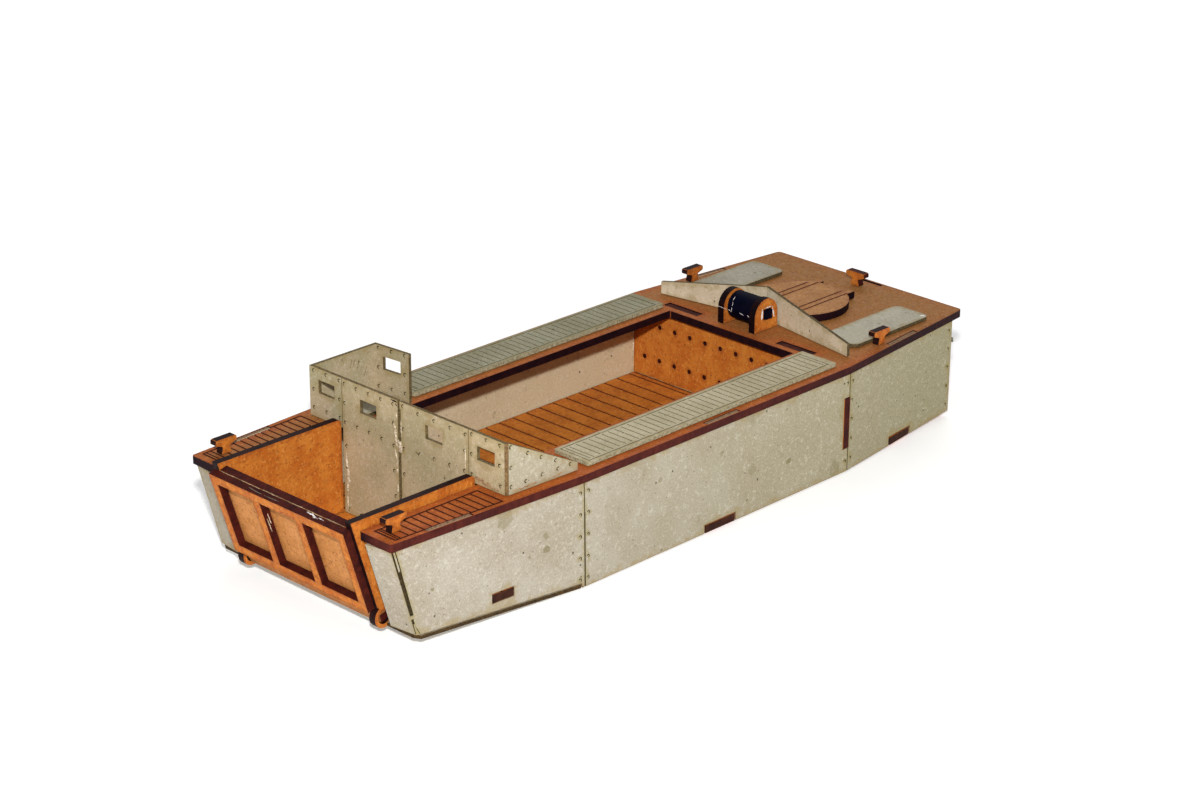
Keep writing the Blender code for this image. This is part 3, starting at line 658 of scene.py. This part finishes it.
def engrave_skin(side):
    """Seams, rows of rivets and the opened bow crease of one side skin."""
    def engrave(cutter):
        turn = PORT_TURN if side > 0 else STARBOARD_TURN
        fore, middle, aft = (skin_face(x, side) for x in (80.0, 0.0, -80.0))
        for face, top_x, low_x, width, top, low in (
            # a seam's x at its top and its foot, its width, and z at its top and its foot
            (middle, 49.7, 49.4, 0.3, 29.8, 21.0), (middle, 49.4, 49.1, 0.46, 21.2, -0.5),
            (aft, -56.1, -56.1, 0.3, 29.8, 22.6), (aft, -56.1, -56.1, 0.3, 7.0, -0.5),
        ):
            groove(cutter, face, station(face, top_x), top, station(face, low_x), low, width)
        for z in (26.9, 20.8, 14.6, 8.4, 2.3):
            rivet(cutter, fore, station(fore, 50.9), z, turn)
            rivet(cutter, middle, station(middle, 48.1), z, turn)
        for z in (26.8, 21.1, 15.4, 9.4, 3.6):
            rivet(cutter, aft, station(aft, -57.4), z, turn)
            rivet(cutter, aft, station(aft, -107.3), z, turn)
        for z in (26.9, 3.2):
            rivet(cutter, middle, station(middle, -54.9), z, turn)

        def crease(z, back):
            return station(fore, CREASE_FOOT_X + (z - CREASE_FOOT_Z) * CREASE_LEAN - back), z

        for back, high, low, width in (
            # how far aft of the fold, z at the top and the foot, and width
            (0.1, 23.6, 10.4, 1.6), (0.0, 29.8, 23.2, 0.35), (0.85, 29.8, 23.2, 0.3), (0.1, 9.4, 7.9, 0.9),
            (0.0, 7.9, 4.9, 0.3),
        ):
            groove(cutter, fore, *crease(high, back), *crease(low, back), width, CREASE_DEPTH)
        # a finer cut that leaves the fold near its foot
        groove(cutter, fore, *crease(7.9, 0.2), *crease(4.9, 1.2), 0.2, 0.3)
    return engrave


FRONT_RIVETS = {
    # y and z of each
    "steering_shelter": (
        (-35.5, 45.4), (-30.5, 45.4), (-25.2, 45.4), (-35.6, 40.0), (-25.2, 40.0), (-35.6, 34.8),
        (-30.5, 34.8), (-25.2, 34.8),
    ),
    "door_starboard": (
        (-23.2, 45.0), (-18.5, 44.9), (-13.7, 44.9), (-8.9, 44.9), (-4.2, 44.9), (-23.2, 39.6),
        (-23.1, 34.1), (-22.9, 27.4), (-22.8, 21.3), (-22.6, 15.3), (-22.4, 9.3), (-17.7, 9.0),
        (-13.0, 9.0), (-8.4, 9.0), (-4.1, 39.6), (-4.1, 33.3), (-4.1, 26.2), (-3.7, 19.1),
        (-3.7, 12.0), (-18.4, 34.1), (-13.7, 34.0), (-8.8, 33.8),
    ),
    "door_port": (
        (-0.4, 45.4), (5.4, 44.9), (11.4, 44.8), (17.4, 44.8), (23.0, 44.6), (-0.4, 39.0), (-0.3, 33.5),
        (-0.2, 26.4), (-0.2, 19.2), (-0.2, 12.0), (11.3, 34.2), (17.1, 34.4), (22.8, 40.1), (22.6, 34.5),
        (22.7, 27.4), (22.7, 20.4), (22.7, 13.4), (5.4, 9.0), (11.3, 9.0), (17.2, 9.0),
    ),
    "gun_shelter": (
        (25.4, 45.4), (30.7, 45.4), (35.6, 45.4), (25.3, 40.0), (35.5, 39.9), (25.4, 34.4), (35.8, 34.3),
    ),
}
WING_RIVETS = (
    # x and z of each on the gun shelter's outboard leaf
    (72.3, 45.2), (66.6, 42.0), (62.0, 39.6), (57.1, 37.2), (52.0, 34.7), (56.3, 34.7), (61.7, 34.7),
    (67.2, 34.5), (72.2, 34.4), (72.2, 39.6),
)
AFT_RIVETS = (
    # place along the steering shelter's aft leaf, and z
    (2.0, 45.6), (6.8, 45.6), (11.6, 45.7), (2.0, 40.0), (11.6, 40.2), (2.0, 34.5), (6.8, 34.7),
    (11.6, 34.8),
)
SCRATCHES = (
    # on the steering shelter's side, seen from inside: x and z of both ends
    (64.0, 44.6, 62.9, 45.5), (62.7, 44.3, 63.3, 45.3), (60.5, 42.0, 59.8, 44.2), (59.4, 42.6, 58.6, 43.9),
    (57.9, 41.2, 57.5, 42.9), (70.0, 40.2, 68.9, 40.9), (55.6, 38.3, 54.7, 40.6), (66.0, 36.2, 65.4, 37.6),
    (61.2, 37.4, 60.1, 37.9), (54.6, 44.4, 53.6, 44.9),
)


def engrave_front(node):
    """Rivets of a shelter or a door, and what else shows on it."""
    def engrave(cutter):
        for y, z in FRONT_RIVETS[node]:
            rivet(cutter, FRONT, y, z, AHEAD_TURN)
        if node == "gun_shelter":
            for x, z in WING_RIVETS:
                rivet(cutter, WING, station(WING, x), z, AHEAD_TURN)
        if node == "steering_shelter":
            for along, z in AFT_RIVETS:
                rivet(cutter, TOWER_AFT, along, z, AHEAD_TURN)
                rivet(cutter, TOWER_BACK, along - 1.0, z, ASTERN_TURN)
            for x0, z0, x1, z1 in SCRATCHES:
                groove(cutter, TOWER_INSIDE, -x0, z0, -x1, z1, 0.1, 0.07)
            for x in (52.0, 57.2, 62.4, 67.6, 72.4):
                for z in (45.4, 34.8):
                    rivet(cutter, TOWER_SIDE, x, z, STARBOARD_TURN)
            for x in (52.0, 72.4):
                rivet(cutter, TOWER_SIDE, x, 40.1, STARBOARD_TURN)
        if node == "door_port":
            # burnt strip beside the seam, above and below the torn paper
            groove(cutter, FRONT, -1.5, 44.4, -1.5, 35.4, 0.55, 0.4)
            groove(cutter, FRONT, -1.5, 31.9, -1.5, 9.0, 0.4, 0.4)
            # scratches below its window
            groove(cutter, FRONT, 4.3, 34.1, 5.2, 33.7, 0.22)
            groove(cutter, FRONT, 5.2, 33.7, 6.1, 34.6, 0.22)
            groove(cutter, FRONT, 5.1, 33.8, 5.4, 33.3, 0.2)
    return engrave


DECK_FRAME_X = (76.1, 110.3)
DECK_FRAME_INNER_Y = 29.6
DECK_FRAME_OUTER_Y = (38.8, 37.0)    # at its aft and its fore end
DECK_FRAME_CORNER = 0.2              # how far its long lines run past its ends
DECK_FRAME_LINE = 0.55
DECK_SLAT_LINE = 0.5
DECK_END_SLAT_X = 109.3


def engrave_deck(cutter):
    """Frame with slats on each side of the well."""
    aft, fore = DECK_FRAME_X
    wide, narrow = DECK_FRAME_OUTER_Y
    for side, first, pitch in ((1, 78.78, 2.48), (-1, 78.52, 2.44)):
        def outer(x):
            return side * (wide - (x - aft) * (wide - narrow) / (fore - aft))
        inner = side * DECK_FRAME_INNER_Y
        for x, width in ((aft, DECK_FRAME_LINE), (fore, DECK_FRAME_LINE), (DECK_END_SLAT_X, 0.45)):
            groove(cutter, DECK_TOP, x, inner, x, outer(x), width, BOARD_DEPTH)
        start, end = aft - DECK_FRAME_CORNER, fore + DECK_FRAME_CORNER
        groove(cutter, DECK_TOP, start, inner, end, inner, DECK_FRAME_LINE, BOARD_DEPTH)
        groove(cutter, DECK_TOP, start, outer(start), end, outer(end), DECK_FRAME_LINE, BOARD_DEPTH)
        for x in np.arange(first, DECK_END_SLAT_X, pitch):
            groove(cutter, DECK_TOP, float(x), inner, float(x), outer(float(x)), DECK_SLAT_LINE, BOARD_DEPTH)


PLANKS = 29
PLANK_PITCH = 5.36
FIRST_PLANK_X = -51.25
FLOOR_AFT_LINE_X = -53.3
FLOOR_REACH = 44.0       # past the floor's sides
FLOOR_LINE = 0.4


def engrave_floor(cutter):
    for x in [FIRST_PLANK_X + PLANK_PITCH * i for i in range(PLANKS)] + [FLOOR_AFT_LINE_X]:
        groove(cutter, FLOOR, x, -FLOOR_REACH, x, FLOOR_REACH, FLOOR_LINE, BOARD_DEPTH)


BENCH_RIM_X = (-49.6, 44.7)
BENCH_RIM_Y = (27.8, 38.2)
BENCH_CORNER = 0.2
BENCH_SLAT_Y = (28.5, 37.4)
BENCH_END_SLAT_X = 43.5
BENCH_LINE = 0.28
BENCH_LONG_LINE = 0.3


def engrave_bench(side):
    def engrave(cutter):
        first, pitch = (-48.3, 2.38) if side > 0 else (-49.72, 2.375)
        near, far = (side * y for y in BENCH_RIM_Y)
        for x in BENCH_RIM_X:
            groove(cutter, CARD_TOP, x, near, x, far, BENCH_LINE)
        start, end = (side * y for y in BENCH_SLAT_Y)
        groove(cutter, CARD_TOP, BENCH_END_SLAT_X, start, BENCH_END_SLAT_X, end, BENCH_LINE)
        aft, fore = BENCH_RIM_X[0] - BENCH_CORNER, BENCH_RIM_X[1] + BENCH_CORNER
        for y in (near, far):
            groove(cutter, CARD_TOP, aft, y, fore, y, BENCH_LONG_LINE)
        for x in np.arange(first, BENCH_END_SLAT_X - BENCH_LINE, pitch):
            groove(cutter, CARD_TOP, float(x), start, float(x), end, BENCH_LINE)
    return engrave


def engrave_hatch(cutter):
    """Two straps across the hatch, each between two lines."""
    for y, tip in ((-6.9, -93.0), (-4.6, -95.1), (5.1, -94.4), (7.45, -93.9)):
        start = HATCH_X + math.sqrt(HATCH_RADIUS ** 2 - y * y)
        groove(cutter, HATCH, start, y, tip, y, 0.42, BOARD_DEPTH)


ENGRAVE = {
    "side_skin_port": engrave_skin(1),
    "side_skin_starboard": engrave_skin(-1),
    "deck": engrave_deck,
    "floor": engrave_floor,
    "bench_cover_port": engrave_bench(1),
    "bench_cover_starboard": engrave_bench(-1),
    "round_hatch": engrave_hatch,
}
for node in FRONT_RIVETS:
    ENGRAVE[node] = engrave_front(node)

for node, thickness, face, edge in PIECES:
    cut = "card_line" if thickness == CARD else "engraved"
    if edge == "bench_edge":
        cut = "bench_line"
    piece(node, thickness, face, edge, cut, ENGRAVE.get(node))


# Torn paper, glue and chips, with pale flakes for painted glints

SUNK = 0.03              # how far a flake's foot lies inside its sheet
TEAR_STEP = 0.6          # between the points of a torn rim


def scrap(name, body, face, outline, height, material):
    """Crowned flake with an uneven rim, standing on a face of the sheet."""
    bm = bmesh.new()
    middle = [sum(axis) / len(outline) for axis in zip(*outline)]
    rims = []
    for share, rise in ((1.0, -SUNK), (0.97, 0.35 * height), (0.55, 0.9 * height)):
        ring = []
        for i, (a, b) in enumerate(outline):
            lift = rise * (0.75 + 0.25 * math.sin(i * 2.4)) if rise > 0 else rise
            at = face.at(middle[0] + (a - middle[0]) * share, middle[1] + (b - middle[1]) * share, lift)
            ring.append(bm.verts.new(at * MM))
        rims.append(ring)
    crown = bm.verts.new(face.at(*middle, height) * MM)
    foot = bm.verts.new(face.at(*middle, -SUNK) * MM)
    count = len(outline)
    for i in range(count):
        j = (i + 1) % count
        for low, high in zip(rims, rims[1:]):
            bm.faces.new((low[i], low[j], high[j], high[i]))
        bm.faces.new((rims[-1][i], rims[-1][j], crown))
        bm.faces.new((rims[0][j], rims[0][i], foot))
    bmesh.ops.recalc_face_normals(bm, faces=bm.faces)
    mesh = bpy.data.meshes.new(name)
    bm.to_mesh(mesh)
    bm.free()
    mesh.materials.append(MATERIALS[material])
    obj = bpy.data.objects.new(name, mesh)
    bpy.context.scene.collection.objects.link(obj)
    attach(obj, body)


def ragged(a0, b0, a1, b1, width, seed):
    """Outline of a strip from one point to the other that wanders a little and is torn on both sides."""
    random = np.random.default_rng(seed)
    start, end = Vector((a0, b0)), Vector((a1, b1))
    along = (end - start).normalized()
    aside = Vector((-along.y, along.x))
    count = max(3, int((end - start).length / TEAR_STEP))
    sides = ([], [])
    for i in range(count + 1):
        fade = 0.35 + 0.65 * math.sin(math.pi * (i + 0.5) / (count + 1))
        middle = start.lerp(end, i / count) + aside * width * random.uniform(-0.22, 0.22)
        for side, points in zip((-1, 1), sides):
            points.append(tuple(middle + aside * side * width / 2 * fade * random.uniform(0.4, 1.0)))
    return sides[0] + sides[1][::-1]


RAKE = math.radians(17.3)
SLOPE = Vector((math.sin(RAKE), 0.0, math.cos(RAKE)))
AHEAD = Vector((math.cos(RAKE), 0.0, -math.sin(RAKE)))
HINGE = Vector((105.5, 0.0, 6.0))
RAMP_TOP = 28.5          # up its slope from the hinge
RAMP_EDGE = Face(HINGE + SLOPE * RAMP_TOP, (0.0, 1.0, 0.0), -AHEAD)
RAMP_STILE = Face(HINGE + Vector((0.0, -6.9, 0.0)), -AHEAD, SLOPE)
SKIN_INSIDE = port_face(-40.1)
SKIN_END = Face((-109.0, 0.0, 0.0), (0.0, -1.0, 0.0), (0.0, 0.0, 1.0))
CHEEK_INSIDE = port_face(-5.2)
CHEEK_OUTSIDE = port_face(6.7)
CHEEK_EDGE = fore_face(-54.25)
DRUM_AXIS = Vector((-59.6, 0.0, 37.1))
DRUM_RADIUS = 4.1


def drum_face(degrees):
    """Tangent face of the winch drum, whose axis runs across the deck."""
    turn = math.radians(degrees)
    out = Vector((math.cos(turn), 0.0, math.sin(turn)))
    return Face(DRUM_AXIS + out * DRUM_RADIUS, (0.0, 1.0, 0.0), (-out.z, 0.0, out.x))


FLAKES = {
    # body, face, height and material of a group, then both ends and the width of each flake
    "seam": ("starboard_door", FRONT, 0.3, "torn", (
        (-2.9, 43.6, -2.8, 41.2, 0.35), (-3.9, 39.9, -3.1, 38.1, 1.0), (-3.3, 38.4, -3.0, 37.0, 0.6),
        (-3.9, 37.6, -2.9, 35.8, 1.0), (-3.2, 36.2, -2.9, 33.4, 0.8), (-2.6, 35.2, -0.9, 34.4, 1.1),
        (-1.5, 34.9, -2.1, 32.2, 1.9), (-3.6, 32.4, -3.0, 29.6, 0.6), (-2.9, 29.2, -2.8, 26.0, 0.45),
        (-2.8, 22.8, -2.7, 20.6, 0.35),
    )),
    "char": ("starboard_door", FRONT, 0.12, "char", (
        (-4.9, 46.05, -2.5, 45.75, 0.6), (-3.3, 45.4, -2.5, 44.9, 0.5),
    )),
    "hinge": ("starboard_door", FRONT, 0.3, "torn", (
        (-22.9, 25.4, -23.2, 23.6, 0.8), (-23.2, 23.9, -22.7, 21.2, 1.3), (-22.8, 21.0, -22.3, 19.0, 1.1),
        (-22.5, 19.2, -22.4, 16.9, 1.5), (-22.7, 16.6, -22.9, 14.4, 1.1), (-22.9, 13.8, -22.9, 9.2, 0.6),
    )),
    "port_rim": ("port_door", FRONT, 0.2, "torn", (
        (-1.2, 41.4, -1.1, 36.6, 0.35), (-1.1, 35.4, -1.2, 32.2, 0.3), (23.0, 41.2, 22.95, 34.8, 0.5),
        (23.5, 33.6, 23.45, 28.6, 0.4),
    )),
    "gun_foot": ("hull", FRONT, 0.2, "torn_dull", (
        (26.4, 34.1, 29.6, 33.6, 1.5), (28.8, 33.4, 32.4, 33.2, 1.6), (31.9, 33.1, 35.2, 32.8, 0.7),
    )),
    "wing_foot": ("hull", WING, 0.18, "torn_dull", (
        (1.6, 32.9, 5.6, 33.0, 0.7), (5.2, 33.0, 9.4, 33.0, 1.0), (14.6, 33.0, 18.8, 33.1, 0.8),
    )),
    "ramp_joint": ("ramp", RAMP_EDGE, 0.1, "torn_dull", (
        (-24.0, -1.3, -17.0, -1.2, 0.35), (-16.4, -1.25, -8.0, -1.3, 0.3), (-7.4, -1.2, 1.0, -1.25, 0.35),
        (1.4, -1.3, 9.2, -1.2, 0.3), (9.6, -1.25, 16.0, -1.3, 0.4), (16.6, -1.25, 23.8, -1.25, 0.35),
    )),
    "ramp_chip": ("ramp", RAMP_EDGE, 0.2, "glue", (
        (10.6, -1.75, 14.0, -2.0, 0.8), (13.4, -2.5, 15.2, -2.3, 0.3), (15.2, -1.9, 17.2, -2.1, 0.4),
    )),
    "ramp_smear": ("ramp", RAMP_EDGE, 0.06, "lump", (
        (-11.4, -2.3, -6.0, -2.6, 0.35), (-5.2, -2.6, 0.6, -2.5, 0.2),
    )),
    "stile_smear": ("ramp", RAMP_STILE, 0.08, "torn", (
        (-2.3, 21.8, -2.2, 18.4, 0.35), (-2.9, 20.6, -2.6, 16.2, 0.25),
    )),
    # pale strip in the corner of the starboard skin and the hold bulkhead: a painted glint, made of
    # torn-paper flakes
    "skin_corner": ("hull", SKIN_INSIDE, 0.2, "torn", (
        (53.4, 12.6, 53.4, 19.0, 0.5), (53.45, 19.4, 53.4, 26.4, 0.6),
    )),
    "floor_joint": ("hull", FLOOR, 0.12, "torn_dull", (
        (-53.7, -39.0, -53.7, -27.6, 0.35), (-53.7, -26.0, -53.7, -12.0, 0.3),
        (-53.7, -10.0, -53.7, 1.0, 0.25),
    )),
    "stern_lump": ("hull", SKIN_END, 0.8, "lump", ((-35.1, 24.3, -35.4, 22.8, 1.3),)),
    "plate_chip": ("hull", CARD_TOP, 0.12, "glue", ((-98.6, 33.2, -97.4, 32.4, 0.8),)),
    # these two and the pale strips across the drum below are one painted glint, a line of reflected light at
    # one height
    "cheek_thread": ("hull", CHEEK_EDGE, 0.1, "glue", ((-7.4, 37.1, -5.3, 37.0, 0.25),)),
    "cheek_strand": ("hull", CHEEK_INSIDE, 0.1, "glue", ((53.9, 37.2, 55.6, 36.2, 0.25),)),
    # pale flakes round the shaft's end on the port cheek
    "shaft_glue": ("hull", CHEEK_OUTSIDE, 0.3, "glue", (
        (57.4, 39.0, 57.3, 35.8, 0.9), (61.6, 38.9, 62.6, 35.4, 0.5), (58.2, 39.1, 61.4, 38.95, 0.35),
    )),
    "drum_seam_high": ("hull", drum_face(42), 0.12, "glue", ((-3.4, -0.5, -3.35, 0.6, 0.2),)),
    "drum_seam_middle": ("hull", drum_face(20), 0.12, "glue", ((-3.2, -0.6, -3.15, 0.6, 0.22),)),
    "drum_seam_low": ("hull", drum_face(-4), 0.12, "glue", ((-3.2, 0.5, -3.4, -0.6, 0.2),)),
    # painted glint across the drum, in line with the one on the cheek
    "drum_strand": ("hull", drum_face(-12), 0.12, "glue", (
        (-4.6, 0.2, -3.4, -0.2, 0.25), (-0.2, 0.3, 1.3, -0.1, 0.2), (2.6, 0.3, 4.1, -0.2, 0.4),
    )),
}
for group, (body, face, height, material, strips) in FLAKES.items():
    for i, (a0, b0, a1, b1, width) in enumerate(strips):
        outline = ragged(a0, b0, a1, b1, width, len(group) * 7 + i)
        scrap(f"{group}_{i}", body, face, outline, height, material)


# Camera, light and floor, in metres and radians

CAMERA_PLACE = Vector((0.5432, 0.5282, 0.3386))
YAW, PITCH, ROLL = 0.7730, 0.3912, 0.0062
LENS_MM = 89.32
SENSOR_MM = 36.0
KEY_PLACE = (0.543, 0.528, 0.437)
KEY_TARGET = (0.0, 0.0, 0.02)
FILL_PLACE = (-1.6, -1.2, 1.6)
FILL_TARGET = (-0.9, -0.7, 0.0)
WORLD_STRENGTH = 0.3
FLOOR_SIZE = 6.0
FLOOR_DROP = 0.0004
WHITE = (1.0, 1.0, 1.0, 1.0)


def add_camera():
    """Camera at the photo's place and angle."""
    forward = Vector((-math.cos(PITCH) * math.cos(YAW), -math.cos(PITCH) * math.sin(YAW), -math.sin(PITCH)))
    right = Vector((-math.sin(YAW), math.cos(YAW), 0.0))
    up = right.cross(forward)
    turned = right * math.cos(ROLL) + up * math.sin(ROLL)
    top = turned.cross(forward)
    data = bpy.data.cameras.new("camera")
    data.lens = LENS_MM
    data.sensor_width = SENSOR_MM
    data.clip_start = 0.01
    camera = bpy.data.objects.new("camera", data)
    bpy.context.scene.collection.objects.link(camera)
    axes = Matrix((turned, top, -forward)).transposed()
    camera.matrix_world = Matrix.Translation(CAMERA_PLACE) @ axes.to_4x4()
    bpy.context.scene.camera = camera


def add_light(name, energy, place, target, size):
    """White square lamp aimed at a point."""
    data = bpy.data.lights.new(name, "AREA")
    data.energy = energy
    data.shape = "SQUARE"
    data.size = size
    light = bpy.data.objects.new(name, data)
    bpy.context.scene.collection.objects.link(light)
    light.location = place
    light.rotation_euler = (Vector(target) - Vector(place)).to_track_quat("-Z", "Y").to_euler()


def add_floor():
    """White sheet just below the model, which glows more away from it."""
    mesh = bpy.data.meshes.new("floor_sheet")
    bm = bmesh.new()
    bmesh.ops.create_grid(bm, x_segments=1, y_segments=1, size=FLOOR_SIZE)
    bmesh.ops.translate(bm, verts=bm.verts, vec=(0.0, 0.0, -FLOOR_DROP))
    bm.to_mesh(mesh)
    bm.free()
    floor = bpy.data.objects.new("floor_sheet", mesh)
    bpy.context.scene.collection.objects.link(floor)
    paper = Shader("floor_sheet")
    paper.principled.inputs["Base Color"].default_value = (0.92, 0.92, 0.92, 1.0)
    paper.principled.inputs["Roughness"].default_value = 0.9
    paper.principled.inputs["Emission Color"].default_value = WHITE
    glow = paper.span(paper.distance((0.0, 0.0, 0.0)), 130 * MM, 340 * MM, 0.22, 0.6)
    paper.join(glow, paper.principled.inputs["Emission Strength"])
    mesh.materials.append(paper.material)


def add_world():
    world = bpy.data.worlds.new("studio")
    world.use_nodes = True
    background = world.node_tree.nodes["Background"]
    background.inputs["Color"].default_value = WHITE
    background.inputs["Strength"].default_value = WORLD_STRENGTH
    bpy.context.scene.world = world
    bpy.context.scene.view_settings.view_transform = "Standard"


add_camera()
add_world()
add_floor()
add_light("key", 8.0, KEY_PLACE, KEY_TARGET, 0.03)
add_light("fill", 20.0, FILL_PLACE, FILL_TARGET, 1.5)
